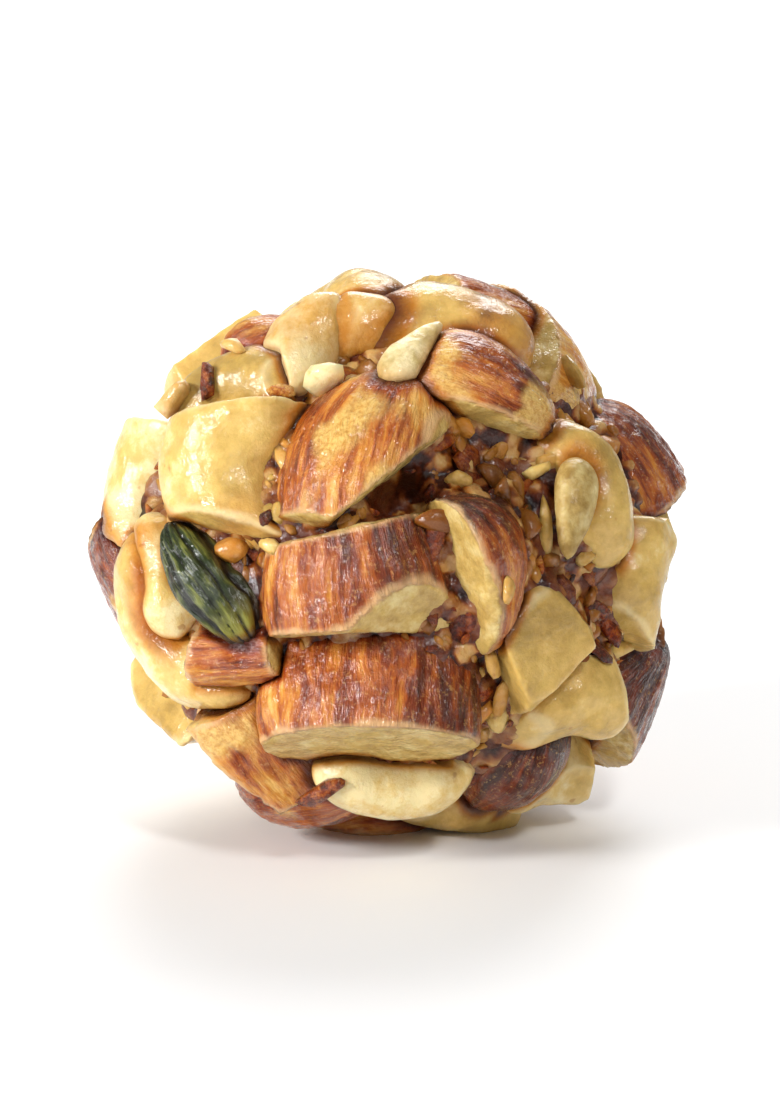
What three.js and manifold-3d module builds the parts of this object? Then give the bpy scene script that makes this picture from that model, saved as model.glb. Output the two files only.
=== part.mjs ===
// Dry fruit ladoo: a ball of chopped almonds, cashews, pistachios and melon seeds that are stuck
// together with a sweet binder. Millimetres, +Z up. The origin is the middle of the small flat spot
// that the ball rests on, and the ball's best side faces -Y.

import * as THREE from "three";
import { mergeVertices } from "three/addons/utils/BufferGeometryUtils.js";
import Module from "manifold-3d";

// ---- Driving dimensions ----

const BALL = { width: 38.4, depth: 38, height: 36.8 }; // over the nuts, before the foot is pressed flat
const FOOT_PRESSED = 0.9; // how much of the ball's height its flat foot takes away
const FRONT_ELEVATION = 15; // degrees above the horizon from which the best side is laid out
const GAP = 0.3; // between a piece and its neighbours
const BINDER_DEPTH = 4.1; // from the outside of the nuts down to the binder between them
const BINDER_LUMPS = 0.5;

// Whole kernels. Length runs along local X, width along Y, thickness along Z.
const ALMOND = { length: 22, width: 14, thickness: 8.4, taper: 0.22 };
const CASHEW = { length: 15, width: 6.4, thickness: 6.4, bendRadius: 5.6, plumpEnds: 0.4, fatEnd: 0.1 };
const PISTACHIO = { length: 13, width: 6.2, thickness: 6, taper: 0.12 };
const SEED = { length: 7.6, width: 3.1, thickness: 2, taper: 0.45 };

const SLAB = 6.6; // height of a slice cut across an almond
const TALL_SLAB = 9.2;
const CHUNK = 7.4; // length of a piece chopped out of a cashew

// Surface fineness: facets round a kernel and along it.
const FINE = [10, 6];
const COARSE = [7, 5];
const NEST = [7, 6];
const NEST_EASE = 1.18; // how much wider than its kernel a nest in the binder is
const BINDER_FINENESS = [10, 7];

const BALL_CENTRE_HEIGHT = BALL.height / 2 - FOOT_PRESSED;
const MEAN_RADIUS = (BALL.width + BALL.depth + BALL.height) / 6;

// ---- Ways a kernel is chopped ----
// Each cut is [x, y, z, distance]: all that lies further than distance along that direction goes.

const CUTS = {
  whole: [],
  slab: [[1, 0, 0, SLAB / 2], [-1, 0, 0, SLAB / 2]],
  tallSlab: [[1, 0, 0, TALL_SLAB / 2], [-1, 0, 0, TALL_SLAB / 2]],
  chippedSlab: [[1, 0.06, 0, SLAB / 2], [-1, 0.12, 0, SLAB / 2], [-0.6, -0.5, 0.65, 4.7]],
  bluntEnd: [[1, 0, 0, -2.2]],
  obliqueEnd: [[0.55, 0.8, -0.32, -0.2], [1, 0, 0, 2.5]],
  pointedEnd: [[-1, 0, 0, -0.5]],
  split: [[0, 0, -1, 0]],
  trimmedSplit: [[0, 0, -1, 0], [0.12, -1, 0, 1.9]],
  splitBlunt: [[0, 0, -1, 0.4], [1, 0, 0.25, 0.8]],
  splitPointed: [[0, 0, -1, 0.4], [-1, 0, 0.2, 0.6]],
  quarter: [[0, 0, -1, 0.3], [0.2, -1, 0, 0.6], [1, 0, 0, 3], [-1, 0.1, 0, 5]],
  sliver: [[0, 0, -1, -1.4], [-1, 0.2, 0, 2.6], [1, 0.1, 0, 3.4]],
  chunk: [[1, 0.1, 0, CHUNK / 2], [-1, 0.25, 0, CHUNK / 2]],
  halfChunk: [[1, 0.1, 0, CHUNK / 2], [-1, 0.25, 0, CHUNK / 2], [0, 0, -1, 0.6]],
  block: [[1, 0.2, 0.15, 3.2], [-1, 0.15, 0.1, 3.1], [0.15, -1, 0.25, 2.4], [0.1, 0.15, 1, 2.2]],
};

// ---- The best side, piece by piece ----
// Each row: the name, which starts with the kind of kernel; how it is chopped; its middle, right of
// and above the ball's middle as seen from the front; the degrees from pointing right to the way the
// kernel's length points, anticlockwise; the degrees to the right and up that its broad side looks,
// away from the front; how large the kernel is beside a whole one in length, width and thickness; and
// how much deeper than its neighbours it lies. A piece lies over those that come after it.

const FRONT_PIECES = [
  ["almond_slab_upper", "chippedSlab", [-2.2, -2.0], 99, [-8, 2], [1, 0.86, 1.05], 0],
  ["almond_end_middle", "obliqueEnd", [-1.5, 6.2], -104, [-8, 20], [0.84, 0.78, 1.05], -0.1],
  ["almond_slab_lower", "tallSlab", [-1.1, -7.9], 90, [-4, 18], [1, 1, 1.1], 0],
  ["almond_split_top", "trimmedSplit", [6.2, 11.1], -22, [12, 24], [0.48, 0.56, 0.8], -0.7],
  ["cashew_cheek", "chunk", [-9.7, 4.6], 94, [-30, 12], [1.3, 1.25, 1.15], -0.3],
  ["pistachio_front", "whole", [-11, -2.2], -52, [-38, -8], [0.82, 0.68, 0.9], -0.6],
  ["seed_front", "whole", [11.6, 2.9], -106, [38, 10], [0.9, 0.9, 1.1], -0.4],
  ["seed_top", "whole", [1.4, 12.7], 52, [4, 36], [0.84, 0.84, 1.1], -0.4],
  ["almond_half_hollow", "split", [6.3, -0.7], -90, [122, 20], [0.48, 0.5, 1.15], 1],
  ["cashew_top", "whole", [3.0, 14.0], -6, [2, 50], [0.82, 1, 0.95], 0],
  ["cashew_block_right", "block", [9.3, -5.4], 36, [28, -14], [1.3, 1.3, 1.1], 0.2],
  ["cashew_curl_left", "split", [-14.3, -5.2], 124, [-46, -12], [1.02, 0.98, 1.2], -0.5],
  ["almond_half_lower_right", "splitPointed", [16.2, -8.9], 50, [56, -26], [0.68, 0.72, 0.9], -0.2],
  ["cashew_ring_right", "halfChunk", [11.2, -9.7], 8, [32, -30], [0.8, 0.9, 1.1], -0.2],
  ["cashew_crescent_low", "split", [0.1, -14.8], 176, [2, -44], [0.74, 0.84, 1.1], -0.4],
  ["almond_end_dark", "split", [8.0, -14.2], -104, [22, -44], [0.42, 0.5, 0.9], -0.4],
  ["cashew_chunk_low", "block", [10.4, -13.7], 12, [36, -44], [0.74, 0.75, 0.85], -0.1],
  ["cashew_curl_right", "split", [13.2, 4.3], -74, [44, 12], [0.7, 0.84, 1.1], -0.2],
  ["almond_end_right", "bluntEnd", [13.9, 6.2], -62, [62, 14], [0.92, 0.76, 0.95], 0.8],
  ["cashew_chunk_right", "chunk", [15.0, -1.6], 82, [56, -4], [0.94, 0.86, 0.9], 0],
  ["cashew_cheek_left", "halfChunk", [-15.9, 4.2], 84, [-62, 14], [1.1, 1.1, 1.2], 0],
  ["cashew_curl_behind", "split", [-14.4, -1.4], -72, [-50, 0], [0.62, 0.7, 1], 0.4],
  ["almond_sliver_left", "sliver", [-9.9, -6.5], 2, [-32, -16], [0.84, 0.38, 1.1], -0.4],
  ["almond_quarter_low_left", "quarter", [-7.5, -12.0], -64, [-24, -34], [0.78, 0.8, 1], 0],
  ["cashew_chunk_top_left", "chunk", [-5.3, 12.9], 66, [-14, 44], [0.66, 0.74, 0.8], 0],
  ["cashew_crescent_brow", "split", [-3.2, 14.8], 24, [-10, 60], [0.62, 0.66, 1], 0],
  ["cashew_chunk_shoulder", "halfChunk", [-9.6, 10.8], 10, [-34, 42], [0.82, 0.86, 1], 0],
  ["almond_split_crown", "split", [-7.9, 13.9], 44, [-34, 52], [0.32, 0.34, 0.8], 0.3],
  ["almond_split_under", "split", [-4.6, -15.6], 20, [-14, -78], [0.55, 0.6, 0.9], 0],
  ["cashew_chunk_under", "halfChunk", [4.5, -16.6], -30, [12, -74], [0.85, 0.85, 0.9], 0.4],
];
const FOOT_PIECE = ["almond_half_foot", "split", [0.54, 0.66, 0.9], 25];

// ---- The other sides, filled in turn ----
// Spots are spread evenly over the ball, and those too near a piece of the best side are left out.

const SPOTS_ON_BALL = 62;
const CLEAR_OF_FRONT = 6.6;
const UNEVEN_SIZE = 0.14;
const UNEVEN_LEAN = 15; // degrees
const REST_SINK = 0.5; // how much deeper they lie than the best side's pieces
const REST_TURNS = [
  ["cashew", "split", [1.05, 1.1, 1.3]],
  ["almond", "slab", [1, 0.9, 1]],
  ["cashew", "chunk", [1.2, 1.3, 1.1]],
  ["almond", "splitBlunt", [0.95, 0.85, 1.2]],
  ["cashew", "block", [1.5, 1.5, 1.2]],
  ["cashew", "split", [0.95, 1.1, 1.3]],
  ["almond", "bluntEnd", [0.95, 0.85, 0.95]],
  ["cashew", "halfChunk", [1.3, 1.4, 1.3]],
  ["almond", "quarter", [1, 1.2, 1.3]],
  ["cashew", "whole", [0.85, 1, 0.95]],
  ["pistachio", "whole", [0.95, 1.05, 1]],
];

const COLOURS = {
  almond: { color: 0x9c5a2e, roughness: 0.5, metalness: 0 },
  cashew: { color: 0xe2c277, roughness: 0.45, metalness: 0 },
  pistachio: { color: 0x4f5a28, roughness: 0.45, metalness: 0 },
  seed: { color: 0xd9c384, roughness: 0.5, metalness: 0 },
  binder: { color: 0x8a5c34, roughness: 0.35, metalness: 0 },
};

// ---- Small tools ----

const wasm = await Module();
wasm.setup();

const radians = THREE.MathUtils.degToRad;

// A repeatable number from 0 to 1 for a whole number.
function chance(whole) {
  const wave = Math.sin(whole * 127.1 + 11.7) * 43758.5453;
  return wave - Math.floor(wave);
}

function solidOf(geometry) {
  const bare = new THREE.BufferGeometry();
  const loose = geometry.index ? geometry.toNonIndexed() : geometry;
  bare.setAttribute("position", loose.getAttribute("position"));
  const merged = mergeVertices(bare, 1e-4);
  return new wasm.Manifold(
    new wasm.Mesh({
      numProp: 3,
      vertProperties: merged.getAttribute("position").array,
      triVerts: new Uint32Array(merged.index.array),
    }),
  );
}

function geometryOf(solid) {
  const mesh = solid.getMesh();
  const geometry = new THREE.BufferGeometry();
  geometry.setAttribute("position", new THREE.BufferAttribute(mesh.vertProperties, 3));
  geometry.setIndex(new THREE.BufferAttribute(mesh.triVerts, 1));
  return geometry;
}

function largestBody(solid) {
  return solid.decompose().reduce((best, body) => (body.volume() > best.volume() ? body : best));
}

// A ball with its poles on the X axis, whose points are moved one by one.
function shapedBall([around, along], shape) {
  const ball = new THREE.SphereGeometry(1, around, along);
  ball.rotateZ(-Math.PI / 2);
  const points = ball.getAttribute("position");
  const point = new THREE.Vector3();
  for (let i = 0; i < points.count; i++) {
    shape(point.fromBufferAttribute(points, i));
    points.setXYZ(i, point.x, point.y, point.z);
  }
  return solidOf(ball);
}

// The block that a cut takes away, moved out by grow.
function cutBlock([x, y, z, distance], grow) {
  const reach = 1.5 * BALL.width;
  const along = new THREE.Vector3(x, y, z).normalize();
  const block = new THREE.BoxGeometry(reach, reach, reach);
  block.translate(0, 0, reach / 2 + distance + grow);
  block.applyQuaternion(new THREE.Quaternion().setFromUnitVectors(new THREE.Vector3(0, 0, 1), along));
  return solidOf(block);
}

// ---- Kernels, each grown on every side by grow ----

function longKernel(sizes, [long, wide, thick], fineness, grow) {
  const { length, width, thickness, taper } = sizes;
  return shapedBall(fineness, (p) => {
    const narrowing = 1 - taper * p.x;
    p.set(
      p.x * ((length * long) / 2 + grow),
      p.y * narrowing * ((width * wide) / 2 + grow),
      p.z * narrowing * ((thickness * thick) / 2 + grow),
    );
  });
}

function bentKernel(sizes, [long, wide, thick], fineness, grow) {
  const { length, width, thickness, bendRadius, plumpEnds, fatEnd } = sizes;
  const halfTurn = (length * long) / 2 / bendRadius + grow / bendRadius;
  return shapedBall(fineness, (p) => {
    const plump = (1 + plumpEnds * p.x * p.x) * (1 + fatEnd * p.x);
    const radius = bendRadius + p.y * plump * ((width * wide) / 2 + grow);
    const turn = p.x * halfTurn;
    p.set(
      Math.sin(turn) * radius,
      Math.cos(turn) * radius - bendRadius,
      p.z * plump * ((thickness * thick) / 2 + grow),
    );
  });
}

const KERNELS = {
  almond: (size, fineness, grow) => longKernel(ALMOND, size, fineness, grow),
  cashew: (size, fineness, grow) => bentKernel(CASHEW, size, fineness, grow),
  pistachio: (size, fineness, grow) => longKernel(PISTACHIO, size, fineness, grow),
  seed: (size, fineness, grow) => longKernel(SEED, size, fineness, grow),
};

function choppedKernel({ kind, cut, size, fineness }, grow) {
  const kernel = KERNELS[kind](size, fineness, grow);
  return CUTS[cut].reduce((rest, block) => rest.subtract(cutBlock(block, grow)), kernel);
}

// ---- Where the pieces go ----

const ladoo = new THREE.Group();
const ball = new THREE.Group();
ball.position.z = BALL_CENTRE_HEIGHT;
ladoo.add(ball);
const frontView = new THREE.Group();
frontView.rotation.x = radians(90 - FRONT_ELEVATION);
ball.add(frontView);

// How far the piece reaches out from its own middle, towards the outside of the ball.
function halfDepth(solid) {
  const { min, max } = solid.boundingBox();
  return (max[2] - min[2]) / 2;
}

// The piece, the room it takes from its neighbours and its plainer nest in the binder, all with the
// piece's own middle at the origin.
function middled(piece) {
  const nestPiece = { ...piece, size: piece.size.map((share) => share * NEST_EASE), fineness: NEST };
  const kept = choppedKernel(piece, 0);
  const { min, max } = kept.boundingBox();
  const shift = min.map((low, i) => -(low + max[i]) / 2);
  return {
    kept: kept.translate(shift),
    room: choppedKernel(piece, GAP).translate(shift),
    nest: choppedKernel(nestPiece, GAP).translate(shift),
  };
}

function addPiece(piece, parent, place) {
  const solids = middled(piece);
  const mesh = new THREE.Mesh(undefined, new THREE.MeshStandardMaterial(COLOURS[piece.kind]));
  mesh.name = piece.name;
  parent.add(mesh);
  place(mesh, solids);
  return { mesh, ...solids };
}

function frontPiece([name, cut, [right, up], turn, [facesRight, facesUp], size, sink]) {
  const piece = { name, kind: name.split("_")[0], cut, size, fineness: FINE };
  return addPiece(piece, frontView, (mesh, { kept }) => {
    const shell = MEAN_RADIUS - halfDepth(kept);
    const toFront = Math.sqrt(Math.max(0, shell * shell - right * right - up * up));
    mesh.position.set(right, up, toFront - sink);
    mesh.rotation.set(radians(-facesUp), radians(facesRight), radians(turn), "YXZ");
  });
}

// A direction for each spot, spread evenly over the ball from its top to its foot.
function spotDirection(i) {
  const up = 1 - (2 * i + 1) / SPOTS_ON_BALL;
  const round = i * Math.PI * (3 - Math.sqrt(5));
  const flat = Math.sqrt(1 - up * up);
  return new THREE.Vector3(flat * Math.cos(round), flat * Math.sin(round), up);
}

function restPiece(direction, i) {
  const [kind, cut, size] = REST_TURNS[i % REST_TURNS.length];
  const uneven = size.map((share, k) => share * (1 + UNEVEN_SIZE * (2 * chance(7 * i + k) - 1)));
  const piece = { name: `${kind}_side_${i + 1}`, kind, cut, size: uneven, fineness: COARSE };
  return addPiece(piece, ball, (mesh, { kept }) => {
    const halfSizes = new THREE.Vector3(BALL.width / 2, BALL.depth / 2, BALL.height / 2);
    halfSizes.subScalar(halfDepth(kept) + REST_SINK);
    mesh.position.copy(direction).multiply(halfSizes);
    const outward = new THREE.Quaternion().setFromUnitVectors(new THREE.Vector3(0, 0, 1), direction);
    const lean = new THREE.Euler(
      radians(UNEVEN_LEAN * (2 * chance(i + 301) - 1)),
      radians(UNEVEN_LEAN * (2 * chance(i + 502) - 1)),
      2 * Math.PI * chance(i + 703),
    );
    mesh.quaternion.copy(outward).multiply(new THREE.Quaternion().setFromEuler(lean));
  });
}

// Half an almond that lies flat side down, so that the ball rests on it.
function footPiece([name, cut, size, turn]) {
  const piece = { name, kind: "almond", cut, size, fineness: FINE };
  return addPiece(piece, ladoo, (mesh, { kept }) => {
    mesh.position.z = halfDepth(kept) - GAP / 2;
    mesh.rotation.z = radians(turn);
  });
}

function placedPieces() {
  const front = FRONT_PIECES.map(frontPiece);
  const foot = footPiece(FOOT_PIECE);
  ladoo.updateMatrixWorld(true);
  const taken = [...front, foot].map(({ mesh }) => {
    return ball.worldToLocal(mesh.getWorldPosition(new THREE.Vector3()));
  });
  const rest = [];
  for (let i = 0; i < SPOTS_ON_BALL; i++) {
    const direction = spotDirection(i);
    const spot = direction.clone().multiplyScalar(MEAN_RADIUS - CASHEW.thickness / 2);
    if (taken.every((place) => place.distanceTo(spot) > CLEAR_OF_FRONT)) {
      rest.push(restPiece(direction, rest.length));
    }
  }
  ladoo.updateMatrixWorld(true);
  return [...front, foot, ...rest];
}

// ---- Fitting the pieces together ----

function fitTogether(pieces) {
  const floor = cutBlock([0, 0, -1, 0], 0);
  const inPlace = (solid, mesh) => solid.transform(mesh.matrixWorld.elements);
  const rooms = pieces.map(({ room, mesh }) => inPlace(room, mesh));
  pieces.forEach(({ mesh, kept }, i) => {
    let fitted = inPlace(kept, mesh).subtract(floor);
    for (const room of rooms.slice(0, i)) {
      fitted = fitted.subtract(room);
    }
    fitted = largestBody(fitted);
    mesh.geometry = geometryOf(fitted).applyMatrix4(mesh.matrixWorld.clone().invert());
  });
  return { nests: pieces.map(({ nest, mesh }) => inPlace(nest, mesh)), floor };
}

// The sweet binder with its fine crumbs: it fills the middle of the ball and rises between the nuts.
function addBinder({ nests, floor }) {
  let binder = shapedBall(BINDER_FINENESS, (p) => {
    const lump = BINDER_LUMPS * Math.sin(9 * p.x + 2) * Math.sin(8 * p.y + 1) * Math.sin(10 * p.z);
    p.set(
      p.x * (BALL.width / 2 - BINDER_DEPTH + lump),
      p.y * (BALL.depth / 2 - BINDER_DEPTH + lump),
      p.z * (BALL.height / 2 - BINDER_DEPTH + lump),
    );
  });
  binder = binder.translate([0, 0, BALL_CENTRE_HEIGHT]).subtract(floor);
  for (const nest of nests) {
    binder = binder.subtract(nest);
  }
  const material = new THREE.MeshStandardMaterial(COLOURS.binder);
  const mesh = new THREE.Mesh(geometryOf(largestBody(binder)), material);
  mesh.name = "binder";
  ladoo.add(mesh);
}

addBinder(fitTogether(placedPieces()));

export default ladoo;
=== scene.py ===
import itertools
import math

import bmesh
import bpy
import numpy as np
from mathutils import Matrix, Vector
from mathutils.bvhtree import BVHTree


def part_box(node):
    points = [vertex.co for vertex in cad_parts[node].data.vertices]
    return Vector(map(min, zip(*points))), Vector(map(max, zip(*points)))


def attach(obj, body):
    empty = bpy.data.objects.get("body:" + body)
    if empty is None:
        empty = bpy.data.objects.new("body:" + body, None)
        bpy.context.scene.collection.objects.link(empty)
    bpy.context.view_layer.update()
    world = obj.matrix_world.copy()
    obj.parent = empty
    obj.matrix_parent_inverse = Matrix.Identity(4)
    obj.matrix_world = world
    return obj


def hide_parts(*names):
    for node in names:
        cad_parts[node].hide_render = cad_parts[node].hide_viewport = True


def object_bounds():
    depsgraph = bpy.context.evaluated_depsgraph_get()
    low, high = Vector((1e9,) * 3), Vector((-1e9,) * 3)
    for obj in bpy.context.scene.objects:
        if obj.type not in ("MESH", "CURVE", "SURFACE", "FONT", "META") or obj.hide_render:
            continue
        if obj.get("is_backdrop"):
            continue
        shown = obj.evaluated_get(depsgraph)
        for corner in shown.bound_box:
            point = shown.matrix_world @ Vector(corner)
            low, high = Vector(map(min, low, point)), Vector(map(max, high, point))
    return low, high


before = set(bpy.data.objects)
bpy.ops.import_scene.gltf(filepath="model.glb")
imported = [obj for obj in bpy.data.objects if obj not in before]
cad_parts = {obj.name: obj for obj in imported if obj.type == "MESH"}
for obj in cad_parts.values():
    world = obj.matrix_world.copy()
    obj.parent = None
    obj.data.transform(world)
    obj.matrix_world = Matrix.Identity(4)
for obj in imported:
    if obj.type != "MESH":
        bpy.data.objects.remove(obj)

cad_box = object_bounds()

# Dry fruit ladoo: chopped nuts in a sticky date and syrup binder, rolled into a ball by hand.
# Shapes are worked out in millimetres, as in the construction, and each mesh ends up in metres.

MM = 0.001

# ---- The ball and its kernels, as constructed ----

BALL = Vector((38.4, 38, 36.8))  # width, depth and height over the nuts
FOOT_PRESSED = 0.9  # how far its lowest part is pressed flat
GAP = 0.3  # between a kernel and its neighbours
FRONT_ELEVATION = 15  # degrees above the horizon from which the best side is seen
BALL_MIDDLE = Vector((0, 0, BALL.z / 2 - FOOT_PRESSED))
MEAN_RADIUS = sum(BALL) / 6
GOLDEN_TURN = math.pi * (3 - math.sqrt(5))  # from one spot to the next, spreads spots evenly over a ball

ALMOND = {"length": 22, "width": 14, "thickness": 8.4, "taper": 0.22}
CASHEW = {"length": 15, "width": 6.4, "thickness": 6.4, "bend": 5.6, "plump": 0.4, "fat": 0.1}
PISTACHIO = {"length": 13, "width": 6.2, "thickness": 6, "taper": 0.12}
SEED = {"length": 7.6, "width": 3.1, "thickness": 2, "taper": 0.45}
KERNELS = {"almond": ALMOND, "cashew": CASHEW, "pistachio": PISTACHIO, "seed": SEED}

SLAB = 6.6
TALL_SLAB = 9.2
CHUNK = 7.4

# Each cut is (x, y, z, distance): all that lies further than distance along that direction goes.
CUTS = {
    "whole": [],
    "slab": [(1, 0, 0, SLAB / 2), (-1, 0, 0, SLAB / 2)],
    "tall_slab": [(1, 0, 0, TALL_SLAB / 2), (-1, 0, 0, TALL_SLAB / 2)],
    "chipped_slab": [(1, 0.06, 0, SLAB / 2), (-1, 0.12, 0, SLAB / 2), (-0.6, -0.5, 0.65, 4.7)],
    "blunt_end": [(1, 0, 0, -2.2)],
    "oblique_end": [(0.55, 0.8, -0.32, -0.2), (1, 0, 0, 2.5)],
    "split": [(0, 0, -1, 0)],
    "trimmed_split": [(0, 0, -1, 0), (0.12, -1, 0, 1.9)],
    "split_blunt": [(0, 0, -1, 0.4), (1, 0, 0.25, 0.8)],
    "split_pointed": [(0, 0, -1, 0.4), (-1, 0, 0.2, 0.6)],
    "quarter": [(0, 0, -1, 0.3), (0.2, -1, 0, 0.6), (1, 0, 0, 3), (-1, 0.1, 0, 5)],
    "sliver": [(0, 0, -1, -1.4), (-1, 0.2, 0, 2.6), (1, 0.1, 0, 3.4)],
    "chunk": [(1, 0.1, 0, CHUNK / 2), (-1, 0.25, 0, CHUNK / 2)],
    "half_chunk": [(1, 0.1, 0, CHUNK / 2), (-1, 0.25, 0, CHUNK / 2), (0, 0, -1, 0.6)],
    "block": [(1, 0.2, 0.15, 3.2), (-1, 0.15, 0.1, 3.1), (0.15, -1, 0.25, 2.4), (0.1, 0.15, 1, 2.2)],
}

# The best side: name, cut, place right of and above the ball's middle, turn, the way it faces,
# size beside a whole kernel, and how much deeper than its neighbours it lies.
FRONT_PIECES = [
    ("almond_slab_upper", "chipped_slab", (-2.2, -2.0), 99, (-8, 2), (1, 0.86, 1.05), 0),
    ("almond_end_middle", "oblique_end", (-1.5, 6.2), -104, (-8, 20), (0.84, 0.78, 1.05), -0.1),
    ("almond_slab_lower", "tall_slab", (-1.1, -7.9), 90, (-4, 18), (1, 1, 1.1), 0),
    ("almond_split_top", "trimmed_split", (6.2, 11.1), -22, (12, 24), (0.48, 0.56, 0.8), -0.7),
    ("cashew_cheek", "chunk", (-9.7, 4.6), 94, (-30, 12), (1.3, 1.25, 1.15), -0.3),
    ("pistachio_front", "whole", (-11, -2.2), -52, (-38, -8), (0.82, 0.68, 0.9), -0.6),
    ("seed_front", "whole", (11.6, 2.9), -106, (38, 10), (0.9, 0.9, 1.1), -0.4),
    ("seed_top", "whole", (1.4, 12.7), 52, (4, 36), (0.84, 0.84, 1.1), -0.4),
    ("almond_half_hollow", "split", (6.3, -0.7), -90, (122, 20), (0.48, 0.5, 1.15), 1),
    ("cashew_top", "whole", (3.0, 14.0), -6, (2, 50), (0.82, 1, 0.95), 0),
    ("cashew_block_right", "block", (9.3, -5.4), 36, (28, -14), (1.3, 1.3, 1.1), 0.2),
    ("cashew_curl_left", "split", (-14.3, -5.2), 124, (-46, -12), (1.02, 0.98, 1.2), -0.5),
    ("almond_half_lower_right", "split_pointed", (16.2, -8.9), 50, (56, -26), (0.68, 0.72, 0.9), -0.2),
    ("cashew_ring_right", "half_chunk", (11.2, -9.7), 8, (32, -30), (0.8, 0.9, 1.1), -0.2),
    ("cashew_crescent_low", "split", (0.1, -14.8), 176, (2, -44), (0.74, 0.84, 1.1), -0.4),
    ("almond_end_dark", "split", (8.0, -14.2), -104, (22, -44), (0.42, 0.5, 0.9), -0.4),
    ("cashew_chunk_low", "block", (10.4, -13.7), 12, (36, -44), (0.74, 0.75, 0.85), -0.1),
    ("cashew_curl_right", "split", (13.2, 4.3), -74, (44, 12), (0.7, 0.84, 1.1), -0.2),
    ("almond_end_right", "blunt_end", (13.9, 6.2), -62, (62, 14), (0.92, 0.76, 0.95), 0.8),
    ("cashew_chunk_right", "chunk", (15.0, -1.6), 82, (56, -4), (0.94, 0.86, 0.9), 0),
    ("cashew_cheek_left", "half_chunk", (-15.9, 4.2), 84, (-62, 14), (1.1, 1.1, 1.2), 0),
    ("cashew_curl_behind", "split", (-14.4, -1.4), -72, (-50, 0), (0.62, 0.7, 1), 0.4),
    ("almond_sliver_left", "sliver", (-9.9, -6.5), 2, (-32, -16), (0.84, 0.38, 1.1), -0.4),
    ("almond_quarter_low_left", "quarter", (-7.5, -12.0), -64, (-24, -34), (0.78, 0.8, 1), 0),
    ("cashew_chunk_top_left", "chunk", (-5.3, 12.9), 66, (-14, 44), (0.66, 0.74, 0.8), 0),
    ("cashew_crescent_brow", "split", (-3.2, 14.8), 24, (-10, 60), (0.62, 0.66, 1), 0),
    ("cashew_chunk_shoulder", "half_chunk", (-9.6, 10.8), 10, (-34, 42), (0.82, 0.86, 1), 0),
    ("almond_split_crown", "split", (-7.9, 13.9), 44, (-34, 52), (0.32, 0.34, 0.8), 0.3),
    ("almond_split_under", "split", (-4.6, -15.6), 20, (-14, -78), (0.55, 0.6, 0.9), 0),
    ("cashew_chunk_under", "half_chunk", (4.5, -16.6), -30, (12, -74), (0.85, 0.85, 0.9), 0.4),
]
FOOT_PIECE = ("almond_half_foot", "split", (0.54, 0.66, 0.9), 25)

# The other sides: spots spread evenly over the ball, filled in turn.
SPOTS_ON_BALL = 62
UNEVEN_SIZE = 0.14  # how far a size may be off, as a share
UNEVEN_LEAN = 15  # degrees
REST_SINK = 0.5  # how much deeper than the front pieces these lie
REST_SEED = 40  # the first of their numbers, past those of the front pieces
REST_TURNS = [  # each with a cut and a size beside a whole kernel
    ("split", (1.05, 1.1, 1.3)),
    ("slab", (1, 0.9, 1)),
    ("chunk", (1.2, 1.3, 1.1)),
    ("split_blunt", (0.95, 0.85, 1.2)),
    ("block", (1.5, 1.5, 1.2)),
    ("split", (0.95, 1.1, 1.3)),
    ("blunt_end", (0.95, 0.85, 0.95)),
    ("half_chunk", (1.3, 1.4, 1.3)),
    ("quarter", (1, 1.2, 1.3)),
    ("whole", (0.85, 1, 0.95)),
    ("whole", (0.95, 1.05, 1)),
]

# ---- How each kernel looks ----
# tone: 0 for pale golden almond skin to 1 for nearly black, and 0 for pale cashew and seed flesh to 1
# for fawn. worn: how much pale flesh shows through almond skin. along and across: how much darker an
# almond gets along it and across it; on the slabs across is painted light and shade, lighter on the
# left towards the window lamp and darker on the right. toast: how far a cashew is browned. toast_end:
# how much more one end is, the other end where it is below 0. streak: how far a stripe along a curl is
# browned. groove: how deep a flat side is hollowed. soft: how far edges are rounded. stained:
# how much the crevices are browned, by syrup and painted shade. A pistachio or a seed starts from
# the cashew's values and reads only some of them.

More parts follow.
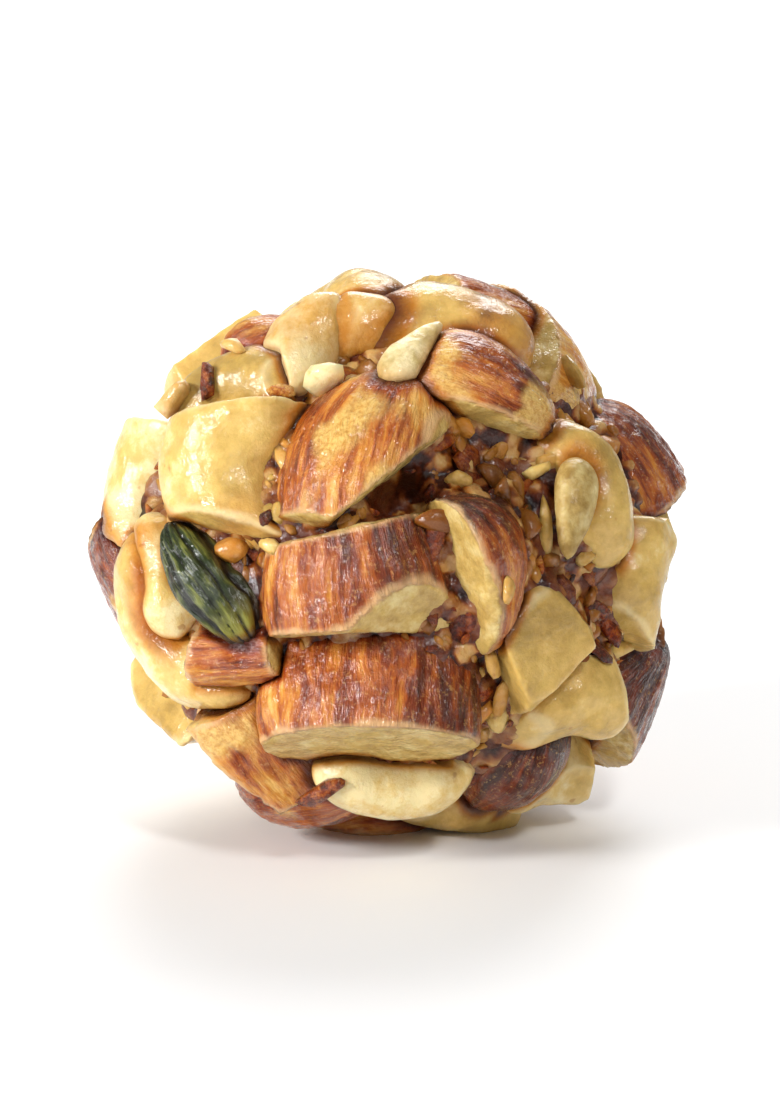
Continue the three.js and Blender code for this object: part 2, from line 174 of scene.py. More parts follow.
ALMOND_LOOK = {"tone": 0.5, "worn": 0.1, "along": 0, "across": 0, "soft": 2, "stained": 1}
CASHEW_LOOK = {"toast": 0.15, "toast_end": 0, "tone": 0.4, "soft": 5, "groove": 0, "streak": 0, "stained": 1}
LOOKS = {
    # On the slabs across is painted light and shade: lighter on the left, towards the window lamp.
    "almond_slab_upper": {"tone": 0.56, "worn": -0.5, "across": -0.16},
    "almond_slab_lower": {"tone": 0.58, "worn": -0.5, "across": -0.2},
    "almond_end_middle": {"tone": 0.38, "worn": 0.15},
    "almond_split_top": {"tone": 0.5, "worn": 0.25, "along": 0.3},
    "almond_half_hollow": {"tone": 0.64, "worn": -0.5, "along": -0.25, "stained": 0.5},
    "almond_end_right": {"tone": 0.56, "worn": -0.5},
    "almond_half_lower_right": {"tone": 0.8, "worn": -0.5},
    "almond_end_dark": {"tone": 0.72, "worn": -0.5},
    "almond_quarter_low_left": {"tone": 0.34, "worn": 0.3},
    "almond_sliver_left": {"tone": 0.44, "worn": -0.1},
    "cashew_cheek": {"toast": 0.12, "toast_end": -0.35, "tone": 0.45, "soft": 9},
    "cashew_cheek_left": {"toast": 0.05, "tone": 0.1, "soft": 9},
    "cashew_top": {"toast": 0.4, "toast_end": 0.6, "tone": 0.55},
    "cashew_curl_left": {"toast": 0.0, "tone": 0.25, "groove": 0.5, "streak": 0.65, "stained": 0.5},
    "cashew_curl_behind": {"toast": 0.05, "tone": 0.15, "groove": 0.3, "stained": 0.6},
    "cashew_chunk_top_left": {"toast": 0.15, "tone": 0.15, "stained": 0.25},
    "cashew_chunk_shoulder": {"toast": 0.1, "tone": 0.65},
    "cashew_crescent_low": {"toast": 0.0, "tone": 0.15, "groove": 0.5, "stained": 0.7},
    "cashew_crescent_brow": {"toast": 0.1, "tone": 0.2, "stained": 0.5},
    "cashew_block_right": {"toast": 0.05, "tone": 0.6, "soft": 2},
    "cashew_ring_right": {"toast": 0.0, "tone": 0.45, "soft": 2},
    "cashew_curl_right": {"toast": 0.05, "tone": 0.6, "groove": 0.4, "stained": 0.6},
    "cashew_chunk_right": {"toast": 0.05, "tone": 0.5, "soft": 2},
    "cashew_chunk_low": {"toast": 0.0, "tone": 0.3, "soft": 2},
    "seed_top": {"tone": 0.05, "stained": 0.3},
}

ROUND_KERNEL = (72, 54)  # segments round and along a kernel before it is cut
VOXEL = 0.2  # the fineness of a kernel's surface
CHIPS = {"almond": (2, 0.5), "cashew": (4, 0.9)}  # how many corners are knocked off, and how deep at most


# ---- Small tools ----

FAR = 9.0  # further than any grain or neighbour that matters


def ease(low, high, x):
    """0 up to low, 1 from high, and a smooth step between them."""
    t = np.clip((x - low) / (high - low), 0, 1)
    return t * t * (3 - 2 * t)


def scramble(cells, seed):
    """A repeatable number from 0 to 1 for each cell of a grid."""
    key = cells @ np.array([73856093, 19349663, 83492791]) + seed * 2654435761
    key = (key ^ (key >> 13)) * 1274126177 & 0xFFFFFFFF
    return ((key ^ (key >> 16)) & 0xFFFF) / 65535


def lumps(points, seed):
    """Smooth noise from -1 to 1, with about one lump to a unit."""
    cell = np.floor(points).astype(np.int64)
    part = points - cell
    part = part * part * (3 - 2 * part)
    total = np.zeros(len(points))
    for corner in itertools.product((0, 1), repeat=3):
        weight = np.prod(np.where(corner, part, 1 - part), axis=1)
        total += (scramble(cell + corner, seed) * 2 - 1) * weight
    return total


def grains(points):
    """Round grains, about one to a unit: how far each point is from its grain's middle, and a number
    from 0 to 1 that is the grain's own."""
    cell = np.floor(points).astype(np.int64)
    nearest = np.full(len(points), FAR)
    own = np.zeros(len(points))
    for corner in itertools.product((-1, 0, 1), repeat=3):
        there = cell + corner
        jitter = np.column_stack([scramble(there, k) for k in (1, 2, 3)])
        away = np.linalg.norm(there + jitter - points, axis=1)
        own = np.where(away < nearest, scramble(there, 4), own)
        nearest = np.minimum(nearest, away)
    return nearest, own


def even_direction(number, count):
    """One of count directions that are spread evenly over a ball, from the top down."""
    up = 1 - (2 * number + 1) / count
    around = number * GOLDEN_TURN
    flat = math.sqrt(1 - up * up)
    return Vector((flat * math.cos(around), flat * math.sin(around), up))


def chance(whole):
    """A repeatable number from 0 to 1 for a whole number."""
    wave = math.sin(whole * 127.1 + 11.7) * 43758.5453
    return wave - math.floor(wave)


def turned(x, y, z, order):
    """A rotation by degrees about each axis, the last letter of order first."""
    angle = {"X": x, "Y": y, "Z": z}
    result = Matrix.Identity(4)
    for axis in order:
        result = result @ Matrix.Rotation(math.radians(angle[axis]), 4, axis)
    return result


def moved(matrix, points):
    m = np.array(matrix)
    return points @ m[:3, :3].T + m[:3, 3]


def read_vectors(items, key):
    """A vector of each vertex, such as its place or its normal."""
    vectors = np.empty(len(items) * 3, np.float32)
    items.foreach_get(key, vectors)
    return vectors.reshape(-1, 3).astype(float)


def set_points(mesh, points):
    mesh.vertices.foreach_set("co", points.astype(np.float32).ravel())
    mesh.update()


def set_attribute(mesh, name, values):
    kind, key = ("FLOAT_VECTOR", "vector") if values.ndim == 2 else ("FLOAT", "value")
    attribute = mesh.attributes.new(name, kind, "POINT")
    attribute.data.foreach_set(key, values.astype(np.float32).ravel())


# ---- Kernels ----


def half_sizes(kernel, size):
    return np.array([kernel["length"], kernel["width"], kernel["thickness"]]) * size / 2


def girth(kernel, x):
    """How plump the kernel is at x from -1 to 1 along it."""
    if "bend" in kernel:
        return (1 + kernel["plump"] * x * x) * (1 + kernel["fat"] * x)
    return 1 - kernel["taper"] * x


def from_unit(kernel, size, unit):
    """Points of a ball of radius 1, moved to where the kernel has them."""
    half = half_sizes(kernel, size)
    across = unit[:, 1:] * girth(kernel, unit[:, :1]) * half[1:]
    if "bend" not in kernel:
        return np.column_stack([unit[:, 0] * half[0], across])
    radius = kernel["bend"] + across[:, 0]
    turn = unit[:, 0] * half[0] / kernel["bend"]
    return np.column_stack([np.sin(turn) * radius, np.cos(turn) * radius - kernel["bend"], across[:, 1]])


def to_unit(kernel, size, points):
    """The other way round: on the skin the result has length 1."""
    half = half_sizes(kernel, size)
    if "bend" not in kernel:
        x = points[:, :1] / half[0]
        across = points[:, 1:]
    else:
        past = points[:, 1] + kernel["bend"]
        x = np.arctan2(points[:, :1], past[:, None]) * kernel["bend"] / half[0]
        across = np.column_stack([np.hypot(points[:, 0], past) - kernel["bend"], points[:, 2]])
    near_kernel = np.clip(x, -1.2, 1.2)  # past its ends the girth would run away
    return np.column_stack([x, across / (girth(kernel, near_kernel) * half[1:])])


def planes_of(cut):
    for x, y, z, distance in CUTS[cut]:
        yield Vector((x, y, z)).normalized(), distance


UNCUT = 50.0  # how far a kernel that isn't cut lies from any cut face


def depths(piece, points):
    """How far points lie under the piece's skin and under the nearest cut face, in millimetres."""
    unit = to_unit(piece["kernel"], piece["size"], points)
    thin = half_sizes(piece["kernel"], piece["size"])[1:].mean()
    skin = (1 - np.linalg.norm(unit, axis=1)) * thin
    face = np.full(len(points), UNCUT)
    for normal, distance in piece["planes"]:
        face = np.minimum(face, distance - points @ np.array(normal))
    return skin, face


def whole_kernel(piece):
    bm = bmesh.new()
    along_x = Matrix.Rotation(math.radians(90), 4, "Y")
    around, along = ROUND_KERNEL
    bmesh.ops.create_uvsphere(bm, u_segments=around, v_segments=along, radius=1, matrix=along_x)
    unit = np.array([v.co for v in bm.verts])
    unit /= np.linalg.norm(unit, axis=1, keepdims=True)
    for vertex, place in zip(bm.verts, from_unit(piece["kernel"], piece["size"], unit)):
        vertex.co = place
    return bm


def slice_off(bm, normal, distance):
    """Takes away all that lies further than distance along the normal, and closes the cut."""
    geometry = bm.verts[:] + bm.edges[:] + bm.faces[:]
    bmesh.ops.bisect_plane(
        bm, geom=geometry, dist=1e-4, plane_co=normal * distance, plane_no=normal, clear_outer=True
    )
    bmesh.ops.holes_fill(bm, edges=[edge for edge in bm.edges if edge.is_boundary])


def chips(piece, bm):
    """Corners knocked off beside the cut faces, as chopping leaves them."""
    cuts = list(planes_of(piece["cut"]))
    count, deepest = CHIPS.get(piece["kind"], (0, 0))
    shallowest = 0.4  # as a share of the deepest
    for k in range(count if cuts else 0):
        pick = piece["seed"] * 31 + k * 7  # whole numbers of its own, from which chance works
        aside = Vector([2 * chance(pick + j) - 1 for j in range(3)]).normalized()
        normal = (cuts[k % len(cuts)][0] + aside).normalized()
        far = max(vertex.co.dot(normal) for vertex in bm.verts)
        yield normal, far - deepest * (shallowest + (1 - shallowest) * chance(pick + 5))


def evenly_meshed(mesh, soft):
    """The same shape in small even faces, its edges a little rounded."""
    worker = bpy.data.objects.new("worker", mesh)
    bpy.context.collection.objects.link(worker)
    remesh = worker.modifiers.new("even", "REMESH")
    remesh.mode = "VOXEL"
    remesh.voxel_size = VOXEL
    smooth = worker.modifiers.new("smooth", "SMOOTH")
    smooth.factor = 0.5
    smooth.iterations = soft
    depsgraph = bpy.context.evaluated_depsgraph_get()
    fine = bpy.data.meshes.new_from_object(worker.evaluated_get(depsgraph))
    bpy.data.objects.remove(worker)
    return fine


def new_piece(name, cut, size, look, seed):
    """The chopped kernel in its own coordinates, with the values that its details are made from."""
    kind = name.split("_")[0]
    piece = {"name": name, "kind": kind, "kernel": KERNELS[kind], "cut": cut, "size": np.array(size, float)}
    piece["seed"] = seed
    piece["look"] = {**(ALMOND_LOOK if kind == "almond" else CASHEW_LOOK), **look, **LOOKS.get(name, {})}
    bm = whole_kernel(piece)
    piece["planes"] = list(planes_of(cut))
    for normal, distance in piece["planes"]:
        slice_off(bm, normal, distance)
    corners = np.array([v.co for v in bm.verts])
    low, high = corners.min(0), corners.max(0)
    piece["shift"] = Matrix.Translation(-(low + high) / 2)
    piece["half_depth"] = (high[2] - low[2]) / 2
    piece["reach"] = np.linalg.norm(high - low) / 2
    for normal, distance in list(chips(piece, bm)):
        slice_off(bm, normal, distance)
        piece["planes"].append((normal, distance))
    bmesh.ops.recalc_face_normals(bm, faces=bm.faces)
    plain = bpy.data.meshes.new(name)
    bm.to_mesh(plain)
    bm.free()
    piece["mesh"] = evenly_meshed(plain, piece["look"]["soft"])
    bpy.data.meshes.remove(plain)
    return piece


# ---- Where the pieces go ----

FRONT_VIEW = Matrix.Translation(BALL_MIDDLE) @ turned(90 - FRONT_ELEVATION, 0, 0, "X")


def front_piece(row, seed):
    """A piece of the best side, as deep in the ball as its thickness asks, turned to face as its row says."""
    name, cut, (right, up), turn, (faces_right, faces_up), size, sink = row
    piece = new_piece(name, cut, size, {}, seed)
    shell = MEAN_RADIUS - piece["half_depth"]
    to_front = math.sqrt(max(0, shell**2 - right**2 - up**2)) - sink
    stance = turned(-faces_up, faces_right, turn, "YXZ")
    piece["place"] = FRONT_VIEW @ Matrix.Translation((right, up, to_front)) @ stance @ piece["shift"]
    return piece


def foot_piece(seed):
    """The piece that the ball rests on, its flat side down."""
    name, cut, size, turn = FOOT_PIECE
    piece = new_piece(name, cut, size, {}, seed)
    stand = Matrix.Translation((0, 0, piece["half_depth"] - GAP / 2))
    piece["place"] = stand @ turned(0, 0, turn, "Z") @ piece["shift"]
    return piece


def rest_piece(name, seed):
    """One of the numbered pieces. Its spot is the one nearest to where its node lies, and the whole
    numbers that chance takes here only keep its picks apart."""
    i = int(name.split("_")[-1]) - 1
    cut, size = REST_TURNS[i % len(REST_TURNS)]
    uneven = [share * (1 + UNEVEN_SIZE * (2 * chance(7 * i + k) - 1)) for k, share in enumerate(size)]
    look = {"tone": 0.25 + 0.5 * chance(i + 17), "worn": 0.3 * chance(i + 29), "toast": 0.45 * chance(i + 41)}
    piece = new_piece(name, cut, uneven, look, seed)
    low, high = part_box(name)
    lies = ((Vector(low) + Vector(high)) / 2 / MM - BALL_MIDDLE).normalized()
    spots = [even_direction(k, SPOTS_ON_BALL) for k in range(SPOTS_ON_BALL)]
    direction = max(spots, key=lies.dot)
    lean = turned(
        UNEVEN_LEAN * (2 * chance(i + 301) - 1),
        UNEVEN_LEAN * (2 * chance(i + 502) - 1),
        math.degrees(2 * math.pi * chance(i + 703)),
        "XYZ",
    )
    outward = Vector((0, 0, 1)).rotation_difference(direction).to_matrix().to_4x4()
    shell = BALL / 2 - Vector((1, 1, 1)) * (piece["half_depth"] + REST_SINK)
    middle = BALL_MIDDLE + direction * shell
    piece["place"] = Matrix.Translation(middle) @ outward @ lean @ piece["shift"]
    return piece


# ---- Details of each kind of kernel ----
# Each function returns how far the surface moves out, in millimetres, and the values that the finish
# reads. With own / 3.4 the lumps are 3.4 mm wide, and with own * 2 there are two to a millimetre. The
# last number that lumps takes only picks a pattern.

PATTERN_STEP = 3.1  # how far apart two kernels lie in the same noise, so that no two look alike
GRAIN_STEP = 7.3  # the same for the grain
GRAIN_STRETCH = 0.17  # how slowly the grain changes along a kernel
GRAIN_WANDER = 0.3  # how far it strays to the side


def own_noise(piece, points):
    """Where the kernel's points lie in the noise."""
    return points + piece["seed"] * PATTERN_STEP


def along_grain(piece, points, unit):
    """Coordinates that change slowly along the kernel and fast round it, for streaks and ribs."""
    around = unit[:, 1:] / np.maximum(np.linalg.norm(unit[:, 1:], axis=1, keepdims=True), 1e-6)
    wide = half_sizes(piece["kernel"], piece["size"])[1:].mean()
    own = points / 2.2 + piece["seed"]
    wander = GRAIN_WANDER * np.column_stack([lumps(own, 41), lumps(own, 42)])
    grain = np.column_stack([around * wide + wander, points[:, 0] * GRAIN_STRETCH])
    return grain + piece["seed"] * GRAIN_STEP


def almond_detail(piece, points, unit, skin, face):
    """Brown papery skin with ribs that run to the tip, over pale flesh."""
    look = piece["look"]
    own = own_noise(piece, points)
    grain = along_grain(piece, points, unit)
    cut = ease(-0.07, 0.07, skin - face + 0.08 * lumps(own * 1.8, 21))
    rib = 0.6 * lumps(grain * 0.9, 1) + 0.4 * lumps(grain * 2, 2)
    rubbed = 0.5 + lumps(own / 2.6, 5) * 0.5 + 0.2 * rib
    worn = ease(0.72 - look["worn"], 0.95 - look["worn"], rubbed)
    edge = ease(0.9, 0, np.maximum(skin, face))
    bulges = 0.25 * lumps(own / 4.5, 3) * (1 - 0.85 * cut)
    papery = 0.17 * rib + 0.05 * lumps(own * 2.2, 4) - 0.06 * worn
    chopped = 0.1 * lumps(own * 0.8, 7) + 0.06 * lumps(own * 2.1, 8)
    nicks = edge * 0.2 * ease(0.1, 0.8, lumps(own * 0.8, 9))
    out = bulges + (1 - cut) * papery + cut * chopped - nicks
    rim = (1 - cut) * ease(0.5, 0.15, face + 0.25 * lumps(own * 1.1, 10))
    tone = look["tone"] + 0.14 * lumps(own / 3, 11)
    # On the slabs across gives painted light and shade: lighter on the left, towards the window lamp, darker
    # on the right.
    tone += look["along"] * unit[:, 0] + look["across"] * unit[:, 1]
    return out, {"cut": cut, "rib": rib, "worn": worn, "rim": rim, "tone": tone, "grain": grain}


def cashew_detail(piece, points, unit, skin, face):
    """Smooth waxy flesh with soft dents, browned in places."""
    look = piece["look"]
    own = own_noise(piece, points)
    cut = ease(-0.2, 0.2, skin - face)
    edge = ease(1.0, 0, np.maximum(skin, face))
    dents = (0.3 * lumps(own / 3.4, 3) + 0.12 * lumps(own / 1.4, 4)) * (1 - 0.6 * cut)
    pores = 0.04 * lumps(own * 1.3, 5)
    bruises = edge * 0.25 * ease(0, 0.8, lumps(own * 0.6, 9))
    hollow = cut * look["groove"] * ease(0.4, 2.2, skin)
    out = dents + pores - bruises - hollow
    patches = ease(0.3, 0.8, 0.45 + 0.6 * lumps(own / 2.6, 15))
    end = ease(0.1, 0.8, unit[:, 0] * np.sign(look["toast_end"]) + 0.3 * lumps(own / 2, 14))
    stripe = ease(0.4, 0.1, np.abs(unit[:, 1] + 0.35 + 0.15 * lumps(own / 2, 16)))
    toast = look["toast"] * patches + abs(look["toast_end"]) * end
    toast += look["streak"] * stripe * ease(-0.5, 0.1, unit[:, 0])
    tone = look["tone"] + 0.25 * lumps(own / 3, 11) + 0.1 * lumps(own / 1.1, 12)
    rim = ease(0.4, 0.05, np.maximum(skin, face) + 0.15 * lumps(own * 0.8, 10))
    return out, {"toast": np.clip(toast, 0, 1), "tone": tone, "rim": rim}


def pistachio_detail(piece, points, unit, skin, face):
    """A wrinkled green kernel with deep dark folds along it."""
    own = own_noise(piece, points)
    grain = along_grain(piece, points, unit)
    fold = 1 - np.abs(lumps(grain * 0.95, 1)) * 2.2
    creases = 0.25 * ease(0.3, 1, fold)
    out = 0.25 * lumps(own / 3, 3) - creases + 0.08 * lumps(own * 1.5, 4)
    towards_tip = ease(0.2, 1.1, unit[:, 0])
    return out, {"fold": fold, "tone": towards_tip, "grain": grain}


def seed_detail(piece, points, unit, skin, face):
    """A flat peeled melon seed with a raised rim."""
    own = own_noise(piece, points)
    from_middle = np.linalg.norm(unit[:, :2], axis=1)
    dish = 0.12 * ease(0.85, 0.5, from_middle)
    out = 0.1 * lumps(own / 1.4, 3) - dish + 0.04 * lumps(own * 1.8, 4)
    return out, {"tone": piece["look"]["tone"] + 0.1 * lumps(own / 1.6, 11)}


DETAILS = {
    "almond": almond_detail,
    "cashew": cashew_detail,
    "pistachio": pistachio_detail,
    "seed": seed_detail,
}

GROOVE = 0.2  # how far a kernel draws back where a neighbour presses on it
GROOVE_EDGE = 0.3  # how gently it does so
SYRUP_AND_SHADE_REACH = 0.8  # how far from a neighbour syrup and painted shade still brown a kernel
MARGIN = 2  # how far past a neighbour's own reach its effect is still looked for


def pressed_on(piece, others, placed):
    """How deep points lie inside the other kernels, negative outside them."""
    deepest = np.full(len(placed), -FAR)
    for other in others:
        if other is piece:
            continue
        middle = np.array(other["place"] @ (other["shift"].inverted() @ Vector()))
        near = np.linalg.norm(placed - middle, axis=1) < other["reach"] + MARGIN
        if near.any():
            skin, face = depths(other, moved(other["place"].inverted(), placed[near]))
            deepest[near] = np.maximum(deepest[near], np.minimum(skin, face))
    return deepest


def new_object(name, mesh):
    """A smooth-shaded object, in the scene."""
    mesh.shade_smooth()
    thing = bpy.data.objects.new(name, mesh)
    bpy.context.collection.objects.link(thing)
    return thing


def finish_kernel(piece, others):
    """Gives a kernel its details, puts it in its place in the ball and makes it an object."""
    mesh = piece["mesh"]
    points = read_vectors(mesh.vertices, "co")
    skin, face = depths(piece, points)
    unit = to_unit(piece["kernel"], piece["size"], points)
    out, values = DETAILS[piece["kind"]](piece, points, unit, skin, face)
    deepest = pressed_on(piece, others, moved(piece["place"], points))
    out -= GROOVE * ease(-GROOVE_EDGE, GROOVE_EDGE, deepest)
    # Syrup and painted shade: darker where a neighbouring kernel lies close.
    values["crevice"] = piece["look"]["stained"] * ease(-SYRUP_AND_SHADE_REACH, 0.05, deepest)
    normals = read_vectors(mesh.vertex_normals, "vector")
    placed = moved(piece["place"], points + normals * out[:, None])
    placed[:, 2] = np.maximum(placed[:, 2], 0)
    set_points(mesh, placed * MM)
    for name, attribute in values.items():
        set_attribute(mesh, name, attribute)
    return new_object(piece["name"] + "_look", mesh)


# ---- Materials ----
# A noise's Scale is its number of lumps to a metre, so 1.3 / MM gives 1.3 to a millimetre. On the grain,
# which is in millimetres already, it is their number to a millimetre round the kernel.


def linear(hex_colour):
    """An sRGB hex colour as the linear RGBA that shaders take."""
    channels = [int(hex_colour[i : i + 2], 16) / 255 for i in (1, 3, 5)]
    return (*[c / 12.92 if c <= 0.04045 else ((c + 0.055) / 1.055) ** 2.4 for c in channels], 1)


def add(tree, kind, inputs=None, out=0, stops=(), **settings):
    """Adds a node and gives back one of its outputs. inputs gives its sockets values or links, and stops
    are a ramp's colours."""
    made = tree.nodes.new("ShaderNode" + kind)
    for name, value in settings.items():
        setattr(made, name, value)
    for name, value in (inputs or {}).items():
        if isinstance(value, bpy.types.NodeSocket):
            tree.links.new(value, made.inputs[name])
        else:
            made.inputs[name].default_value = value
    for number, (position, colour) in enumerate(stops):
        elements = made.color_ramp.elements
        element = elements[number] if number < 2 else elements.new(position)
        element.position = position
        element.color = linear(colour)
    return made.outputs[out] if made.outputs else None


def new_material(name):
    material = bpy.data.materials.new(name)
    material.use_nodes = True
    material.node_tree.nodes.clear()
    return material, material.node_tree


def syruped(tree, colour, height, relief, rough, gloss, rippling, glow, glow_colour):
    """The surface of everything in the ball: brown syrup and painted shade in the crevices, relief, and a
    thin glossy coat that is patchy and finely rippled, so that it breaks the light up into small highlights.
    relief and rippling are heights in metres, gloss is the most coat there is, and glow is how much light
    gets in."""
    crevice = add(tree, "Attribute", out="Fac", attribute_name="crevice")
    place = add(tree, "TexCoord", out="Object")
    # Syrup and painted shade: the crevice value multiplies the colour down to dark brown.
    syrup_and_shade_stops = [(0.0, "#ffffff"), (0.45, "#dcae74"), (1.0, "#6e4030")]
    syrup_and_shade_tint = add(tree, "ValToRGB", {"Fac": crevice}, stops=syrup_and_shade_stops)
    darkened_colour = add(tree, "Mix", {0: 1.0, 6: colour, 7: syrup_and_shade_tint}, out=2, data_type="RGBA", blend_type="MULTIPLY")
    ripple = add(tree, "TexNoise", {"Vector": place, "Scale": 1.3 / MM, "Detail": 2, "Roughness": 0.6})
    patches = add(tree, "TexNoise", {"Vector": place, "Scale": 0.6 / MM, "Detail": 3, "Roughness": 0.6})
    film = {"Value": patches, "From Min": 0.34, "From Max": 0.52, "To Max": gloss}
    bump = add(tree, "Bump", {"Height": height, "Distance": relief, "Strength": 1.0})
    rippled = add(tree, "Bump", {"Height": ripple, "Distance": rippling, "Strength": 1.0, "Normal": bump})
    surface = add(
        tree,
        "BsdfPrincipled",
        {
            "Base Color": darkened_colour,
            "Roughness": rough,
            "IOR": 1.45,
            "Specular IOR Level": 0.2,
            "Subsurface Weight": glow,
            "Subsurface Radius": glow_colour,
            "Subsurface Scale": 1 * MM,
            "Coat Weight": add(tree, "MapRange", film, interpolation_type="SMOOTHSTEP"),
            "Coat Roughness": 0.06,
            "Coat IOR": 1.5,
            "Normal": bump,
            "Coat Normal": rippled,
        },
    )
    add(tree, "OutputMaterial", {"Surface": surface})


def almond_finish():
    """Natural almond skin: thin, papery and orange brown, with darker streaks along it and pale dust
    in its ribs, over cream flesh that shows where it is chopped or the skin has rubbed off."""
    material, tree = new_material("syruped almond skin and flesh")
    names = ("cut", "rib", "worn", "rim", "tone")
    cut, rib, worn, rim, tone = [add(tree, "Attribute", out="Fac", attribute_name=name) for name in names]
    grain = add(tree, "Attribute", out="Vector", attribute_name="grain")
    place = add(tree, "TexCoord", out="Object")
    streak = add(tree, "TexNoise", {"Vector": grain, "Scale": 0.9, "Detail": 2, "Roughness": 0.6})
    thread = add(tree, "TexNoise", {"Vector": grain, "Scale": 2.4, "Detail": 3, "Roughness": 0.7})
    dust = add(tree, "TexNoise", {"Vector": place, "Scale": 3 / MM, "Detail": 3, "Roughness": 0.7})
    chopped = add(tree, "TexNoise", {"Vector": place, "Scale": 0.7 / MM, "Detail": 6, "Roughness": 0.7})
    shade = tone
    for pattern, share in ((streak, 1.2), (thread, 1.0), (rib, -0.14)):
        shade = add(tree, "Math", {0: pattern, 1: share, 2: shade}, operation="MULTIPLY_ADD")
    shade = add(tree, "Math", {0: shade, 1: -1.1}, operation="ADD")  # back on the ramp
    browns = [
        (0.0, "#e0ad5e"),
        (0.2, "#cb8634"),
        (0.42, "#aa581d"),
        (0.62, "#7d3413"),
        (0.82, "#5a2410"),
        (1.0, "#3a160b"),
    ]
    skin = add(tree, "ValToRGB", {"Fac": shade}, stops=browns)
    dusty = {"Value": dust, "From Min": 0.54, "From Max": 0.7, "To Max": 0.4}
    dusty = add(tree, "MapRange", dusty, interpolation_type="SMOOTHSTEP")
    skin = add(tree, "Mix", {0: dusty, 6: skin, 7: linear("#daa560")}, out=2, data_type="RGBA")
    bare = add(tree, "ValToRGB", {"Fac": dust}, stops=[(0.35, "#c08a3e"), (0.6, "#dfb869")])
    skin = add(tree, "Mix", {0: worn, 6: skin, 7: bare}, out=2, data_type="RGBA")
    creams = [(0.32, "#a88745"), (0.5, "#c8a75e"), (0.68, "#dfca8c")]
    flesh = add(tree, "ValToRGB", {"Fac": chopped}, stops=creams)
    opened = add(tree, "Mix", {0: cut, 6: skin, 7: flesh}, out=2, data_type="RGBA")
    torn = add(tree, "Math", {0: rim, 1: 0.75}, operation="MULTIPLY")
    rimmed = add(tree, "Mix", {0: torn, 6: opened, 7: linear("#d8b07c")}, out=2, data_type="RGBA")
    uncut = add(tree, "Math", {0: 1.0, 1: cut}, operation="SUBTRACT")
    threads = add(tree, "Math", {0: uncut, 1: thread}, operation="MULTIPLY")
    height = add(tree, "Math", {0: dust, 1: 0.35, 2: threads}, operation="MULTIPLY_ADD")
    papery = {"relief": 0.2 * MM, "rough": 0.4, "gloss": 0.9, "rippling": 0.26 * MM}
    syruped(tree, rimmed, height, **papery, glow=0.1, glow_colour=(1.0, 0.5, 0.25))
    return material


def cashew_finish():
    """Lightly roasted cashew: waxy cream flesh that lets some light in, brown where roasted, and paler
    cream along the edges where it is chopped."""
    material, tree = new_material("roasted cashew flesh")
    names = ("tone", "toast", "rim")
    tone, toast, rim = [add(tree, "Attribute", out="Fac", attribute_name=name) for name in names]
    place = add(tree, "TexCoord", out="Object")
    cloud = add(tree, "TexNoise", {"Vector": place, "Scale": 0.42 / MM, "Detail": 5, "Roughness": 0.6})
    mottle = add(tree, "TexNoise", {"Vector": place, "Scale": 1.1 / MM, "Detail": 4, "Roughness": 0.7})
    specks = add(tree, "TexNoise", {"Vector": place, "Scale": 0.8 / MM, "Detail": 2, "Roughness": 0.6})
    shade = tone
    for pattern in (cloud, mottle):
        shade = add(tree, "Math", {0: pattern, 1: 0.9, 2: shade}, operation="MULTIPLY_ADD")
    shade = add(tree, "Math", {0: shade, 1: -0.8}, operation="ADD")  # back on the ramp
    creams = [(0.05, "#f2dfa8"), (0.35, "#e0bd6e"), (0.65, "#cba75a"), (0.95, "#ae8e4a")]
    ivory = add(tree, "ValToRGB", {"Fac": shade}, stops=creams)
    browns = [(0.32, "#d69436"), (0.5, "#b87024"), (0.68, "#763a15")]
    toasted = add(tree, "ValToRGB", {"Fac": cloud}, stops=browns)
    browned = add(tree, "Mix", {0: toast, 6: ivory, 7: toasted}, out=2, data_type="RGBA")
    # Paler cream along the edges where a chopped face meets the rounded side.
    paler_edges = add(tree, "Math", {0: rim, 1: 0.4}, operation="MULTIPLY")
    edged = add(tree, "Mix", {0: paler_edges, 6: browned, 7: linear("#f1e2b4")}, out=2, data_type="RGBA")
    spots = {"Value": specks, "From Min": 0.69, "From Max": 0.74, "To Max": 0.5}
    spots = add(tree, "MapRange", spots, interpolation_type="SMOOTHSTEP")
    spotted = add(tree, "Mix", {0: spots, 6: edged, 7: linear("#a8682c")}, out=2, data_type="RGBA")
    height = add(tree, "Math", {0: cloud, 1: 0.8, 2: mottle}, operation="MULTIPLY_ADD")
    waxy = {"relief": 0.12 * MM, "rough": 0.4, "gloss": 0.75, "rippling": 0.09 * MM}
    syruped(tree, spotted, height, **waxy, glow=0.35, glow_colour=(1.0, 0.65, 0.3))
    return material


def pistachio_finish():
    """Pistachio kernel in its thin skin: dark green, nearly black in the folds, yellow green at the tip."""
    material, tree = new_material("pistachio kernel skin")
    tone, fold = [add(tree, "Attribute", out="Fac", attribute_name=name) for name in ("tone", "fold")]
    grain = add(tree, "Attribute", out="Vector", attribute_name="grain")
    fine = add(tree, "TexNoise", {"Vector": grain, "Scale": 2.6, "Detail": 5, "Roughness": 0.6})
    greens = [(0.32, "#141a0f"), (0.5, "#2f391a"), (0.66, "#727637")]
    green = add(tree, "ValToRGB", {"Fac": fine}, stops=greens)
    tipped = add(tree, "Mix", {0: tone, 6: green, 7: linear("#a39c40")}, out=2, data_type="RGBA")
    deep = {"Value": fold, "From Min": 0.45, "From Max": 0.95}
    deep = add(tree, "MapRange", deep, interpolation_type="SMOOTHSTEP")
    folded = add(tree, "Mix", {0: deep, 6: tipped, 7: linear("#13120d")}, out=2, data_type="RGBA")
    wrinkled = {"relief": 0.2 * MM, "rough": 0.3, "gloss": 0.9, "rippling": 0.12 * MM}
    syruped(tree, folded, fine, **wrinkled, glow=0.05, glow_colour=(0.6, 0.8, 0.3))
    return material


